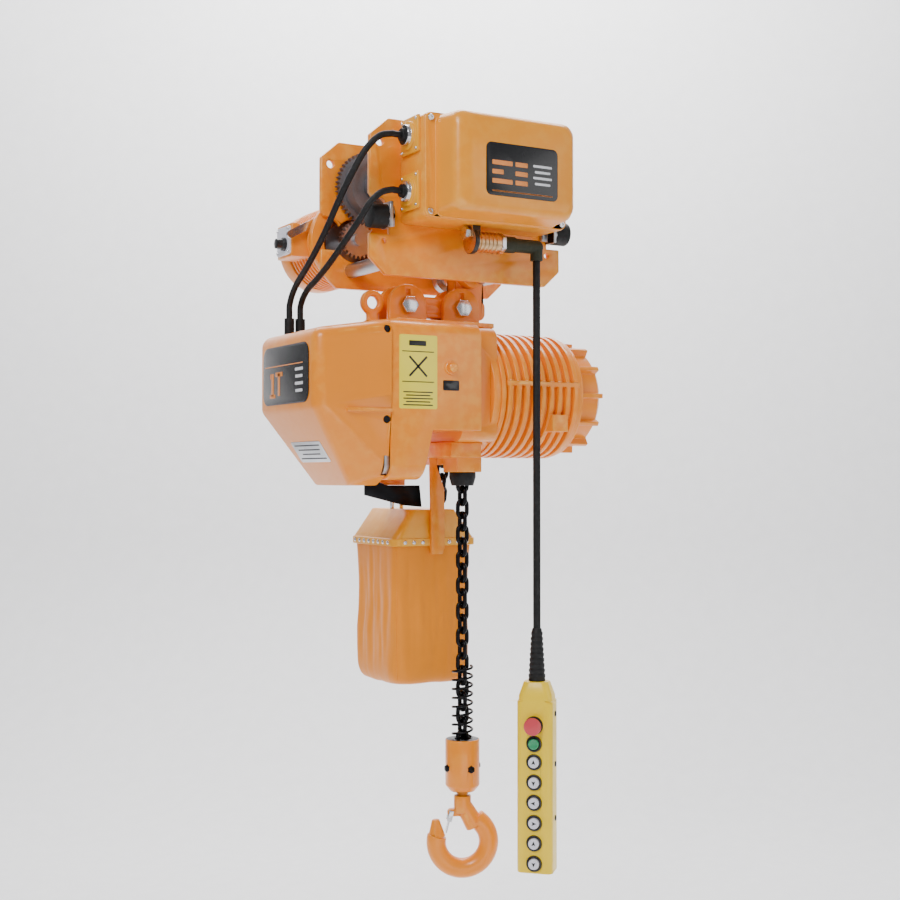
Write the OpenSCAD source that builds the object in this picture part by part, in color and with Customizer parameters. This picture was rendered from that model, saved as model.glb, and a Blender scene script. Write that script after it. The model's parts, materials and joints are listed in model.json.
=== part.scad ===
// Electric chain hoist on an electric beam trolley, with pendant control and chain bag.
// Frame: X along the beam and the hoist's shafts, -Y towards the control box, +Z up.
// Origin: centre of the four wheels' contact with the top of the beam's lower flange.

/* [Beam trolley] */
// Width of the beam's lower flange
flange_w = 140; // [130:1:142]
// Thickness of each side plate
plate_t = 10; // [8:1:12]
// Length of each side plate along the beam
plate_l = 350; // [340:1:360]
// Distance between the wheel centres along the beam
wheel_base = 180; // [180:1:180]
// Radius of the wheel tread
tread_r = 50; // [46:1:52]
// Height of the load shaft's axis
load_z = -92; // [-95:1:-90]

/* [Control box] */
// Length of the control box along the beam
box_l = 256; // [240:1:262]
// Height of the control box
box_h = 160; // [150:1:165]
// Depth of the box's base
base_d = 76; // [70:1:80]
// Depth of the box's domed cover
cover_d = 64; // [56:1:68]

/* [Hoist body] */
// Height of the main shaft's axis
axis_z = -295; // [-297:1:-293]
// Depth of the gearbox housing, front to back
house_w = 230; // [226:1:236]
// Wall thickness of the housing
wall = 7; // [6:1:8]
// Radius of the motor frame over its fins
motor_r = 105; // [102:1:108]

/* [Load chain and hook] */
// Wire diameter of the load chain
wire_d = 7; // [6.8:0.1:7]
// Pitch of the load chain
pitch = 21; // [21:1:21]
// Distance from the main axis to the load chain
chain_r = 34.2; // [34:0.1:34.4]
// Radius of the hook block
block_r = 28; // [26:1:30]

/* [Pendant] */
// Width of the pendant's case
pend_w = 58; // [56:1:62]
// Depth of the pendant's case
pend_d = 46; // [44:1:50]
// Height of the pendant's case
pend_h = 302; // [300:1:306]
// Spacing of the push buttons
btn_pitch = 32; // [31:1:32]

/* [Hidden] */
$fn = 96;
plate_y = 86;
plate_out = plate_y + plate_t;
plate_top = 126;
plate_bot = -118;
blind_y = plate_y + 4;
bar_top = -55;
axle_r = 15;
axle_z = tread_r;
tread_y = flange_w / 2 - 25;
wheel_x = wheel_base / 2;
load_x = 50;
shaft_r = 16;
gap = 0.05;
drive_m = 2.5;
drive_dist = 90;
drive_a = -105;
drive_x = round(10 * (-wheel_x + drive_dist * cos(drive_a))) / 10;
drive_z = round(10 * (axle_z + drive_dist * sin(drive_a))) / 10;
drive_r = 70;
box_x0 = -122;
box_z0 = -38;
base_y = -plate_out - base_d;
cover_y = base_y - cover_d;
chain_x = 25;
house_x0 = -147;
house_x1 = 14;
barrel_x1 = 60;
house_top = -187;
house_bot = -436;
notch_z = -358;
cover_x0 = -274;
screw_x = -154;
screw_z = [-204, -343];
inter_d = 70;
inter_y = inter_d * cos(45);
inter_z = axis_z - inter_d * sin(45);
motor_x1 = 215;
bell_x1 = 272;
lug_x = [-70, 30];
lug_z = -153;
lug_r = lug_z - house_top;
eye_x = -124;
hook_y = -chain_r;
slack_a = 10;
spring_top = axis_z - 445;
spring_bot = axis_z - 565;
block_bot = -945;
pin_z = axis_z - 28 * pitch - 5.8;
hook_turn = -25;
hook_z = -1028;
hook_r = 43;
hook_t = 16;
latch_x = -19;
latch_z = -980;
latch_a = 14;
latch_l = 33;
bag_x = 4;
bag_y = 100;
bag_w = 156;
bag_d = 164;
bag_top = -545;
bag_front = bag_y - bag_d / 2;
hood_top = -486;
bag_bot = -778;
pend_x = 103;
pend_y = -138;
pend_top = -758;
pend_turn = -45;
cord_d = 12;
exit_z = -84;
cord_route = [[103, -138, exit_z], [103, -138, -280], [103, -138, -477], [103, -138, -674]];
cable_d = 10;
upper_route = [
    [-142, -134, 92], [-150, -134, 92], [-158, -134, 92], [-178, -133, 86], [-198, -127, 64],
    [-214, -112, 28], [-226, -92, -10], [-234, -62, -52], [-239, -30, -84], [-240, 4, -106],
    [-240, 34, -122], [-240, 54, -138], [-240, 64, -152], [-240, 66, -160], [-240, 66, -168],
    [-240, 66, -176]
];
lower_route = [
    [-142, -134, 6], [-150, -134, 6], [-158, -134, 6], [-175, -132, 0], [-190, -126, -16],
    [-202, -112, -42], [-211, -90, -66], [-217, -62, -88], [-220, -30, -106], [-221, 4, -120],
    [-221, 34, -130], [-221, 54, -142], [-221, 64, -154], [-221, 66, -160], [-221, 66, -168],
    [-221, 66, -176]
];

// A solid turned so that its own z axis lies along X, from x on.
module along_x(x, y, z) {
    translate([x, y, z]) rotate([0, 90, 0]) children();
}

// A solid turned so that its own z axis lies along +Y, from y on.
module along_y(x, y, z) {
    translate([x, y, z]) rotate([-90, 0, 0]) children();
}

// A round bar or disc along X between two ends.
module bar_x(x0, x1, y, z, r) {
    along_x(x0, y, z) cylinder(h = x1 - x0, r = r);
}

// A round bar or disc along Y between two ends.
module bar_y(x, y0, y1, z, r) {
    along_y(x, y0, z) cylinder(h = y1 - y0, r = r);
}

// A round bar or hole along Z between two heights.
module bar_z(x, y, z0, z1, r) {
    translate([x, y, z0]) cylinder(h = z1 - z0, r = r);
}

// A ring along X.
module ring_x(x0, x1, y, z, r, bore) {
    difference() {
        bar_x(x0, x1, y, z, r);
        bar_x(x0 - 1, x1 + 1, y, z, bore);
    }
}

// A ring along Y.
module ring_y(x, y0, y1, z, r, bore) {
    difference() {
        bar_y(x, y0, y1, z, r);
        bar_y(x, y0 - 1, y1 + 1, z, bore);
    }
}

// A box between two opposite corners.
module span(a, b) {
    translate(a) cube(b - a);
}

// A rectangle with rounded corners, centred.
module rounded(w, h, r) {
    square([w, h - 2 * r], center = true);
    square([w - 2 * r, h], center = true);
    for (x = [-1, 1], y = [-1, 1]) translate([x * (w / 2 - r), y * (h / 2 - r)]) circle(r);
}

// A bar along X with a rounded section, given by its middle, width and height.
module block_x(x0, x1, y, z, w, h, r) {
    translate([x0, y, z]) rotate([90, 0, 90]) linear_extrude(x1 - x0) rounded(w, h, r);
}

// A bar along Y with a rounded section, given by its middle, length and height.
module block_y(y0, y1, x, z, l, h, r) {
    translate([x, y1, z]) rotate([90, 0, 0]) linear_extrude(y1 - y0) rounded(l, h, r);
}

// A spur gear with straight-sided teeth; a tooth is centred at angle a.
module gear(n, m, w, a) {
    r = n * m / 2;
    half = 0.17 * PI * m;
    cylinder(h = w, r = r - 1.25 * m);
    for (i = [0:n - 1]) rotate(a + i * 360 / n) linear_extrude(w) polygon([
        [r - 1.7 * m, -half * 1.8], [r, -half], [r + 0.8 * m, -half * 0.55],
        [r + 0.8 * m, half * 0.55], [r, half], [r - 1.7 * m, half * 1.8]
    ]);
}

// One chain link, upright, its wide side turned by a.
module link(a) {
    side = 8.5;
    straight = pitch / 2 + 0.1 - side + wire_d / 2;
    rotate([90, 0, a]) {
        for (s = [-1, 1]) translate([s * side, -straight, 0]) rotate([-90, 0, 0])
            cylinder(h = 2 * straight, d = wire_d, $fn = 32);
        for (s = [0, 180]) rotate(s) translate([0, straight, 0])
            rotate_extrude(angle = 180, $fn = 32) translate([side, 0]) circle(d = wire_d, $fn = 32);
    }
}

// Points of a ring of n corners around p, square to direction d.
function across(d) = abs(d[1]) > 0.8 * norm(d) ? [1, 0, 0] : [0, 1, 0];
function unit(v) = v / norm(v);
function ring(p, d, r, n) = let (u = unit(cross(d, across(d))), v = unit(cross(d, u)))
    [for (i = [0:n - 1]) p + r * (cos(i * 360 / n) * u + sin(i * 360 / n) * v)];

// A point on a smooth curve through the route's points, at k from 0 to the last index.
function clamped(route, i) = route[max(0, min(len(route) - 1, i))];
function curve(route, k) = let (
        i = min(floor(k), len(route) - 2), t = k - i,
        a = clamped(route, i - 1), b = route[i], c = route[i + 1], d = clamped(route, i + 2)
    ) 0.5 * (2 * b + t * (c - a) + t * t * (2 * a - 5 * b + 4 * c - d)
        + t * t * t * (3 * b - a - 3 * c + d));

// A round cord swept along a route, with so many rings between two of its points.
module cord(route, d, steps) {
    last = (len(route) - 1) * steps;
    n = 10;
    function at(k) = curve(route, max(0, min(last, k)) / steps);
    pts = [for (k = [0:last]) each ring(at(k), at(k + 0.5) - at(k - 0.5), d / 2, n)];
    sides = [for (k = [0:last - 1], i = [0:n - 1])
        let (j = (i + 1) % n) [k * n + i, k * n + j, k * n + n + j, k * n + n + i]];
    ends = [[for (i = [0:n - 1]) n - 1 - i], [for (i = [0:n - 1]) last * n + i]];
    polyhedron(pts, concat(sides, ends));
}

// ---------- Beam trolley ----------

// Outline of a side plate in X and Z, notched for the bumpers.
module plate_outline() {
    e = plate_l / 2;
    difference() {
        polygon([
            [-e + 32, plate_top], [e - 32, plate_top], [e, plate_top - 22], [e, -8],
            [e - 25, -8], [e - 25, bar_top], [e, bar_top], [e, -92], [e - 28, plate_bot],
            [-e + 28, plate_bot],
            [-e, -92], [-e, bar_top], [-e + 34, bar_top], [-e + 34, -12], [-e + 22, 0],
            [-e + 6, 0], [-e, 8], [-e, plate_top - 28]
        ]);
        for (s = [-1, 1]) translate([s * 158, 88]) circle(6.5);
        for (s = [-1, 1], z = [12, -66]) translate([s * 150, z]) circle(4);
    }
}

// A side plate on the +Y side; its holes go right through only in the far one.
module side_plate(far) {
    end_y = far ? plate_out + 1 : blind_y;
    difference() {
        translate([0, plate_out, 0]) rotate([90, 0, 0]) linear_extrude(plate_t) plate_outline();
        for (s = [-1, 1]) bar_y(s * wheel_x, plate_y - 1, end_y, axle_z, axle_r);
        for (s = [-1, 1]) bar_y(s * 120, plate_y - 1, end_y, -88, 9);
        bar_y(load_x, plate_y - 1, end_y, load_z, shaft_r);
        if (far) bar_y(drive_x, plate_y - 1, plate_out + 1, drive_z, 36);
        if (far) bar_y(0, plate_y - 1, plate_out + 1, axle_z, 8);
    }
}

module side_plate_near() {
    color([0.98, 0.62, 0.24]) mirror([0, 1, 0]) side_plate(false);
}

module side_plate_far() {
    color([0.98, 0.62, 0.24]) side_plate(true);
}

// Two stepped tie bolts that set the distance between the plates; one runs flush under the drive.
module tie_bolts() {
    color([0.35, 0.35, 0.37]) {
        for (s = [-1, 1]) {
            bar_y(s * 120, -plate_y, plate_y, -88, 12);
            bar_y(s * 120, -blind_y, plate_out + (s > 0 ? 14 : 0), -88, 9);
        }
        translate([120, plate_out + 11, -88]) rotate([90, 0, 0]) cylinder(h = 11, r = 15, $fn = 6);
    }
}

// Four fixed axles, each with a collar that keeps its wheel on, and the idler's pin.
module axle_pins() {
    color([0.6, 0.6, 0.62]) {
        for (sx = [-1, 1], sy = [0, 1]) mirror([0, sy, 0]) {
            bar_y(sx * wheel_x, tread_y - 3, sy > 0 ? blind_y : plate_out, axle_z, axle_r);
            bar_y(sx * wheel_x, tread_y - 7, tread_y - 2, axle_z, 20);
        }
        bar_y(0, 70, plate_out, axle_z, 8);
        bar_y(0, 67, 70, axle_z, 12);
    }
}

// The shaft that carries the hoist, with a collar inside each plate.
module load_shaft() {
    color([0.5, 0.5, 0.52]) {
        bar_y(load_x, -blind_y, plate_out + 6, load_z, shaft_r);
        for (s = [-1, 1]) ring_y(load_x, s * 65 - 8, s * 65 + 8, load_z, 24, shaft_r);
    }
}

// Rubber buffers on steel brackets, at the three corners that the drive leaves free.
module bumpers() {
    for (s = [[0, 0], [1, 0], [1, 1]]) mirror([s[0], 0, 0]) mirror([0, s[1], 0]) {
        color([0.08, 0.08, 0.08]) bar_x(-181, -153, -104, -30, 19);
        color([0.55, 0.56, 0.58]) {
            span([-153, -122, -48], [-147, -plate_out, -8]);
            span([-147, -104, -44], [-136, -plate_out, -12]);
            translate([-141.5, -104, -28]) rotate([90, 0, 0]) cylinder(h = 5, r = 5, $fn = 6);
        }
    }
}

// A rail wheel on the +Y side: tread, lip and, when geared, teeth on the lip.
module wheel(x, geared) {
    difference() {
        union() {
            bar_y(x, tread_y, 73, axle_z, tread_r);
            if (geared) along_y(x, 73, axle_z) gear(48, drive_m, 10, 0);
            if (!geared) bar_y(x, 73, 83, axle_z, 60);
            bar_y(x, 83, plate_y - 0.5, axle_z, 22);
        }
        bar_y(x, 44, 90, axle_z, axle_r + gap);
        ring_y(x, 40, 52, axle_z, 42, 24);
        ring_y(x, 76, 90, axle_z, 46, 24);
    }
}

module wheel_near_left() {
    color([0.3, 0.3, 0.32]) mirror([0, 1, 0]) wheel(-wheel_x, false);
}

module wheel_near_right() {
    color([0.3, 0.3, 0.32]) mirror([0, 1, 0]) wheel(wheel_x, false);
}

module wheel_far_left() {
    color([0.3, 0.3, 0.32]) wheel(-wheel_x, true);
}

module wheel_far_right() {
    color([0.3, 0.3, 0.32]) wheel(wheel_x, true);
}

// The gear that carries the drive from one geared wheel to the other.
module idler_gear() {
    color([0.45, 0.45, 0.47]) difference() {
        along_y(0, 73, axle_z) gear(24, drive_m, 10, 7.5);
        bar_y(0, 70, 90, axle_z, 8 + gap);
    }
}

// ---------- Trolley drive ----------

module trolley_motor_case() {
    color([0.98, 0.62, 0.24]) difference() {
        union() {
            bar_y(drive_x, plate_out, plate_out + 14, drive_z, drive_r + 4);
            bar_y(drive_x, plate_out + 14, 214, drive_z, drive_r - 6);
            for (k = [0:6]) bar_y(drive_x, 122 + 12 * k, 127 + 12 * k, drive_z, drive_r);
            bar_y(drive_x, 208, 244, drive_z, drive_r);
            along_y(drive_x, 244, drive_z) cylinder(h = 12, r1 = drive_r, r2 = drive_r - 14);
            span([drive_x - 96, 128, drive_z - 26], [drive_x - 50, 190, drive_z + 30]);
        }
        bar_y(drive_x, plate_out - 1, 240, drive_z, 52);
        bar_y(drive_x, 120, 240, drive_z, 56);
        bar_y(drive_x, 239, 251, drive_z, 10 + gap);
    }
}

module trolley_motor_stator() {
    color([0.5, 0.3, 0.15]) ring_y(drive_x, 125, 195, drive_z, 56, 36);
}

// The drive motor's rotor, its shaft and the pinion that turns the geared wheel.
module trolley_rotor() {
    color([0.55, 0.55, 0.57]) {
        difference() {
            along_y(drive_x, 73, drive_z) gear(24, drive_m, 10, 7.5);
            bar_y(drive_x, 70, 90, drive_z, 10 + gap);
        }
        bar_y(drive_x, 66, 250, drive_z, 10);
        ring_y(drive_x, 130, 190, drive_z, 35.5, 10 + gap);
    }
}

// ---------- Control box ----------

module control_box_base() {
    x1 = box_x0 + box_l;
    z1 = box_z0 + box_h;
    color([0.98, 0.62, 0.24]) difference() {
        block_y(base_y, -plate_out, (box_x0 + x1) / 2, (box_z0 + z1) / 2, box_l, box_h, 10);
        block_y(base_y - 1, -plate_out - 5, (box_x0 + x1) / 2, (box_z0 + z1) / 2,
            box_l - 8, box_h - 8, 7);
        for (x = [box_x0 + 11, x1 - 11], z = [box_z0 + 11, z1 - 11])
            bar_y(x, base_y - 1, base_y + 18, z, 2.5);
    }
    color([0.98, 0.62, 0.24]) for (x = [box_x0 + 11, x1 - 11], z = [box_z0 + 11, z1 - 11])
        ring_y(x, base_y, -plate_out - 5, z, 7.2, 2.5);
}

// Domed form of the cover, drawn in by d on every side.
module cover_dome(d) {
    mid_x = box_x0 + box_l / 2;
    mid_z = box_z0 + box_h / 2;
    hull() for (s = [[base_y - 2, 0, 14], [cover_y + 14, 4, 18], [cover_y + 5, 10, 20], [cover_y, 24, 24]])
        block_y(s[0] + d, s[0] + d + 1, mid_x, mid_z, box_l - 36 - s[1] - 2 * d, box_h - 4 - s[1] - 2 * d,
            s[2], $fn = 32);
}

module control_box_cover() {
    x1 = box_x0 + box_l;
    z1 = box_z0 + box_h;
    color([1, 0.68, 0.3]) difference() {
        union() {
            block_y(base_y - 5, base_y, (box_x0 + x1) / 2, (box_z0 + z1) / 2, box_l, box_h, 12);
            cover_dome(0);
        }
        cover_dome(4);
        for (x = [box_x0 + 9, x1 - 9], z = [box_z0 + 9, z1 - 9])
            bar_y(x, base_y - 8, base_y + 1, z, 2.9);
    }
}

module control_box_screws() {
    x1 = box_x0 + box_l;
    z1 = box_z0 + box_h;
    color([0.7, 0.7, 0.72]) for (x = [box_x0 + 9, x1 - 9], z = [box_z0 + 9, z1 - 9]) {
        bar_y(x, base_y - 8, base_y - 5, z, 5);
        bar_y(x, base_y - 5, base_y, z, 2.5);
    }
}

// Contactors and a transformer on the base's back wall.
module contactors() {
    y1 = -plate_out - 5;
    color([0.2, 0.2, 0.22]) for (i = [0:2]) span([-98 + 50 * i, y1 - 56, 10], [-56 + 50 * i, y1, 82]);
    color([0.45, 0.35, 0.2]) span([60, y1 - 50, 6], [112, y1, 70]);
    color([0.85, 0.85, 0.8]) span([-98, y1 - 18, -24], [100, y1, -10]);
}

// Two yellow plates on the box's left side, each with a gland for a power cable.
module connector_plates() {
    for (z = [92, 6]) {
        color([0.96, 0.72, 0.2]) span([box_x0 - 5, -162, z - 28], [box_x0, -106, z + 28]);
        color([0.96, 0.72, 0.2]) bar_x(box_x0 - 9, box_x0 - 5, -134, z, 22);
        color([0.75, 0.76, 0.78]) bar_x(box_x0 - 15, box_x0 - 9, -134, z, 16);
        color([0.1, 0.1, 0.1]) bar_x(box_x0 - 20, box_x0 - 15, -134, z, 10);
    }
}

// Brass plug and socket under the box, ending in an elbow that the pendant's cord hangs from.
module pendant_connector() {
    color([0.75, 0.52, 0.3]) {
        span([-24, -150, -56], [-8, -126, box_z0]);
        bar_x(-22, -14, -138, -62, 20);
        bar_x(-14, 30, -138, -62, 15);
        translate([30, -138, -62]) rotate([0, 90, 0]) cylinder(h = 8, r = 17, $fn = 6);
    }
    color([0.25, 0.28, 0.2]) {
        bar_x(38, 60, -138, -62, 13);
        bar_x(60, pend_x, -138, -62, 11);
        translate([pend_x, -138, -62]) sphere(11);
        bar_z(pend_x, -138, exit_z, -62, 10);
    }
}

// ---------- Hoist suspension ----------

// Hub on the load shaft, web and cross bar that the lugs are bolted to.
module suspension_hanger() {
    color([0.98, 0.6, 0.22]) difference() {
        union() {
            bar_y(load_x, -30, 30, load_z, 26);
            span([load_x - 26, -12, lug_z], [load_x + 26, 12, load_z]);
            block_y(-12, 12, (lug_x[0] + load_x) / 2 + 6, lug_z, load_x - lug_x[0] + 52, 34, 12);
        }
        bar_y(load_x, -31, 31, load_z, shaft_r + gap);
        for (x = lug_x) bar_y(x, -13, 13, lug_z, 9);
    }
}

// Base plate with two pairs of half-round ears.
module suspension_lugs() {
    color([0.98, 0.6, 0.22]) difference() {
        union() {
            span([-108, -58, house_top], [72, 58, house_top + 8]);
            for (x = lug_x, y = [-24, 12]) {
                bar_y(x, y, y + 12, lug_z, lug_r);
                span([x - lug_r, y, house_top], [x + lug_r, y + 12, lug_z]);
            }
        }
        for (x = lug_x) bar_y(x, -30, 30, lug_z, 9);
        for (x = lug_x, y = [-30, 18]) span([x - 4, y, lug_z + 17], [x + 4, y + 12, lug_z + 26]);
    }
}

module lug_bolts() {
    color([0.8, 0.8, 0.82]) for (x = lug_x) {
        bar_y(x, -26, 26, lug_z, 9);
        translate([x, -24, lug_z]) rotate([90, 0, 0]) cylinder(h = 9, r = 15, $fn = 6);
        translate([x, 33, lug_z]) rotate([90, 0, 0]) cylinder(h = 9, r = 15, $fn = 6);
    }
}

// Ring bolt for lifting the bare hoist; its ring faces the front.
module lifting_eye() {
    color([0.98, 0.6, 0.22]) difference() {
        union() {
            bar_y(eye_x, -6, 6, -150, 20);
            span([eye_x - 9, -6, house_top], [eye_x + 9, 6, -164]);
            translate([eye_x, 0, house_top]) cylinder(h = 7, r = 15);
        }
        bar_y(eye_x, -7, 7, -150, 10);
    }
}

// ---------- Hoist body ----------

// Outer form of the gearbox housing, its notched skirt and the sheave barrel.
module house_form(d) {
    mid = (house_top + house_bot) / 2;
    tall = house_top - house_bot;
    difference() {
        block_x(house_x0 - (d > 0 ? 1 : 0), house_x1 - d, 0, mid, house_w - 2 * d, tall - 2 * d, 24 - d);
        translate([0, house_w, 0]) rotate([90, 0, 0]) linear_extrude(2 * house_w) polygon([
            [-92 - d, house_bot - 5], [-74 - d, notch_z + d],
            [house_x1 + 5, notch_z + d], [house_x1 + 5, house_bot - 5]
        ]);
    }
}

module gearbox_housing() {
    color([0.98, 0.61, 0.23]) difference() {
        union() {
            house_form(0);
            block_x(house_x1 - 20, barrel_x1, 0, -282, 176, 186, 20);
            bar_x(barrel_x1 - 14, barrel_x1, 0, axis_z, motor_r - 3);
        }
        difference() {
            house_form(wall);
            span([-8, -130, -450], [40, 130, -150]);
        }
        span([8, -52, -380], [42, 52, house_top - 5]);
        bar_x(-10, 62, 0, axis_z, 24);
        bar_x(-10, -2, 0, axis_z, 32);
        bar_x(44, 54, 0, axis_z, 32);
        bar_x(-20, -2, inter_y, inter_z, 10 + gap);
        bar_x(-90, -8, inter_y, inter_z, 11);
        for (y = [-70, 70]) bar_x(barrel_x1 - 6, barrel_x1 + 1, y, axis_z - 60, 4);
    }
}

// Plate between the gears and the electrics, with the far bearings of both shafts.
module gearbox_plate() {
    color([0.6, 0.6, 0.6]) difference() {
        block_x(house_x0 - 8, house_x0, 0, (house_top + house_bot) / 2, 214, 233, 16);
        bar_x(house_x0 - 9, house_x0 + 1, 0, axis_z, 9 + gap);
        bar_x(house_x0 - 9, house_x0 + 1, inter_y, inter_z, 10 + gap);
    }
}

// Form of the electrical end cover: upright above, tapering inwards below.
module cover_form(d) {
    hull() {
        for (y = [-1, 1], z = [-224, -320])
            translate([cover_x0 + 20 + d * 0.8, y * 95, z]) sphere(20 - d * 0.8, $fn = 24);
        block_x(house_x0 - 1, house_x0, 0, -258, house_w + 6 - 2 * d, 142 - 2 * d, 24, $fn = 32);
        block_x(house_x0 - 50 + d, house_x0, -4, -410, 150 - 2 * d, 70 - 2 * d, 20, $fn = 32);
        block_x(house_x0 - 3, house_x0, 0, -400, 214 - 2 * d, 66 - 2 * d, 24, $fn = 32);
    }
}

module end_cover() {
    color([1, 0.66, 0.28]) difference() {
        union() {
            cover_form(0);
            for (y = [-1, 1]) span([cover_x0 + 50, y * 116 - 4, -332], [house_x0, y * 116 + 4, -326]);
        }
        difference() {
            cover_form(4);
            for (s = [0, 1], z = screw_z) mirror([0, s, 0]) span([-166, 104, z - 9], [-148, 130, z + 9]);
        }
        span([house_x0 - 9, -108, -429], [house_x0 + 1, 108, -193]);
        for (x = [-240, -221]) bar_z(x, 66, -215, -175, 8);
        for (z = screw_z) {
            bar_y(screw_x, -130, 130, z, 3);
            for (s = [-1, 1]) bar_y(screw_x, s * 118 - 8, s * 118 + 8, z, 6);
        }
    }
}

module cover_screws() {
    color([0.1, 0.1, 0.1]) for (s = [0, 1], z = screw_z) mirror([0, s, 0]) {
        bar_y(screw_x, 107, 110, z, 3);
        bar_y(screw_x, 110, 113, z, 5.5);
    }
}

// Finned frame of the lifting motor.
module motor_frame() {
    color([0.98, 0.6, 0.22]) difference() {
        union() {
            bar_x(barrel_x1, motor_x1, 0, axis_z, motor_r - 9);
            for (k = [0:8]) bar_x(barrel_x1 + 12 + 16 * k, barrel_x1 + 20 + 16 * k, 0, axis_z, motor_r);
            bar_x(barrel_x1, barrel_x1 + 8, 0, axis_z, motor_r - 1);
            bar_x(motor_x1 - 8, motor_x1, 0, axis_z, motor_r - 2);
            span([barrel_x1 + 10, -motor_r + 1, axis_z + 12], [motor_x1 - 4, -motor_r + 20, axis_z + 20]);
            span([motor_x1 - 60, -motor_r - 2, axis_z - 62], [motor_x1 - 30, -60, axis_z - 34]);
        }
        bar_x(barrel_x1 - 1, motor_x1 + 1, 0, axis_z, motor_r - 25);
    }
}

// Ribbed bell over the fan and the brake.
module motor_end_bell() {
    color([0.98, 0.6, 0.22]) difference() {
        union() {
            bar_x(motor_x1, motor_x1 + 6, 0, axis_z, motor_r - 4);
            bar_x(motor_x1 + 6, bell_x1 - 10, 0, axis_z, 84);
            along_x(bell_x1 - 10, 0, axis_z) cylinder(h = 10, r1 = 84, r2 = 74);
            for (a = [0:30:330]) along_x(motor_x1 + 6, 0, axis_z) rotate(a)
                translate([78, -4, 0]) cube([17, 8, 44]);
        }
        bar_x(motor_x1 - 1, bell_x1 - 4, 0, axis_z, 76);
        for (a = [0:30:330]) along_x(bell_x1 - 6, 0, axis_z) rotate(a)
            translate([40, 0, 0]) cylinder(h = 8, r = 5);
    }
}

module motor_stator() {
    color([0.5, 0.3, 0.15]) ring_x(82, 198, 0, axis_z, motor_r - 25, 48);
}

module brake_coil() {
    color([0.3, 0.2, 0.2]) ring_x(motor_x1, motor_x1 + 20, 0, axis_z, 76, 24);
}

// Shaft with the squirrel-cage core, brake disc, fan and pinion.
module motor_rotor() {
    color([0.6, 0.6, 0.62]) {
        along_x(-143, 0, axis_z) gear(14, 2, 14, 90 - 45 + 180 / 14);
        bar_x(-154, 100, 0, axis_z, 9);
        bar_x(60, 240, 0, axis_z, 12);
        bar_x(86, 194, 0, axis_z, 47.4);
        ring_x(238, 244, 0, axis_z, 66, 11);
    }
    color([0.2, 0.2, 0.2]) ring_x(248, 262, 0, axis_z, 20, 8);
    color([0.2, 0.2, 0.2]) bar_x(240, 262, 0, axis_z, 9);
    color([0.2, 0.2, 0.2]) for (a = [0:60:300]) along_x(248, 0, axis_z) rotate(a)
        translate([18, -2, 0]) cube([48, 4, 14]);
}

// Shaft with the gear that the motor's pinion drives and the pinion that drives the sheave.
module intermediate_gear() {
    color([0.55, 0.55, 0.57]) {
        along_x(-143, inter_y, inter_z) gear(56, 2, 14, 90 - 45);
        along_x(-124, inter_y, inter_z) gear(12, 2.5, 22, 90 - 45 + 180 + 15);
        bar_x(-154, -3, inter_y, inter_z, 10);
    }
}

// Pocket wheel of five pockets for the chain, its hollow shaft and its gear.
module load_sheave() {
    color([0.5, 0.5, 0.52]) difference() {
        union() {
            along_x(-122, 0, axis_z) gear(44, 2.5, 18, 90 - 45);
            bar_x(-126, 52, 0, axis_z, 20);
            for (s = [-1, 1]) {
                bar_x(chain_x + (s > 0 ? 4.8 : -14), chain_x + (s > 0 ? 14 : -4.8), 0, axis_z, 30);
                bar_x(chain_x + (s > 0 ? 13 : -16), chain_x + (s > 0 ? 16 : -13), 0, axis_z, 38);
                for (k = [0:4]) along_x(chain_x + (s > 0 ? 4.8 : -13), 0, axis_z) rotate(k * 72 - 90)
                    translate([28, -2.4, 0]) cube([7, 4.8, 8.2]);
            }
        }
        bar_x(-130, 60, 0, axis_z, 10.5);
    }
}

// Ball bearings of the sheave and of the motor shaft, as closed rings.
module bearings() {
    color([0.75, 0.76, 0.78]) {
        ring_x(-10, -2, 0, axis_z, 32, 20 + gap);
        ring_x(44, 52, 0, axis_z, 32, 20 + gap);
        ring_x(62, 74, 0, axis_z, motor_r - 25, 12 + gap);
        ring_x(202, 214, 0, axis_z, motor_r - 25, 12 + gap);
    }
}

// ---------- Chain run ----------

// Guide block under the sheave, with a passage for each side of the chain.
module chain_guide() {
    color([0.98, 0.6, 0.22]) difference() {
        union() {
            span([-12, -62, -400], [45, 62, -375]);
            span([2, -58, -424], [48, -10, -400]);
            span([4, 14, -412], [46, 56, -400]);
        }
        bar_z(chain_x, hook_y, -430, -370, 15);
        bar_z(chain_x, chain_r, -430, -370, 15);
    }
}

// Rubber bell at the guide's mouth, which the buffer spring stops against.
module chain_funnel() {
    color([0.08, 0.08, 0.08]) difference() {
        union() {
            bar_z(chain_x, hook_y, -432, -424, 22);
            translate([chain_x, hook_y, -446]) cylinder(h = 14, r1 = 18, r2 = 22);
        }
        bar_z(chain_x, hook_y, -450, -420, 15);
    }
}

// Loaded run from the guide to the hook block; every second link stands across.
module load_chain() {
    color([0.12, 0.12, 0.12]) for (k = [6:28])
        translate([chain_x, hook_y, axis_z - k * pitch]) link(k % 2 == 0 ? 90 : 0);
}

// Links over the sheave and down to the bag.
module slack_chain() {
    color([0.12, 0.12, 0.12]) {
        for (k = [0:4]) translate([chain_x, hook_y, axis_z - k * pitch]) link(k % 2 == 0 ? 90 : 0);
        for (k = [1:4]) translate([chain_x, 0, axis_z]) rotate([-k * 36, 0, 0])
            translate([0, hook_y, 0]) link(k % 2 == 0 ? 90 : 0);
        for (k = [5:11]) translate([chain_x, chain_r, axis_z - (k - 5) * pitch]) link(k % 2 == 0 ? 90 : 0);
        for (k = [12:16]) translate([chain_x, chain_r, axis_z - 6.5 * pitch]) rotate([slack_a, 0, 0])
            translate([0, 0, -(k - 11.5) * pitch]) link(k % 2 == 0 ? 90 : 0);
    }
}

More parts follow.
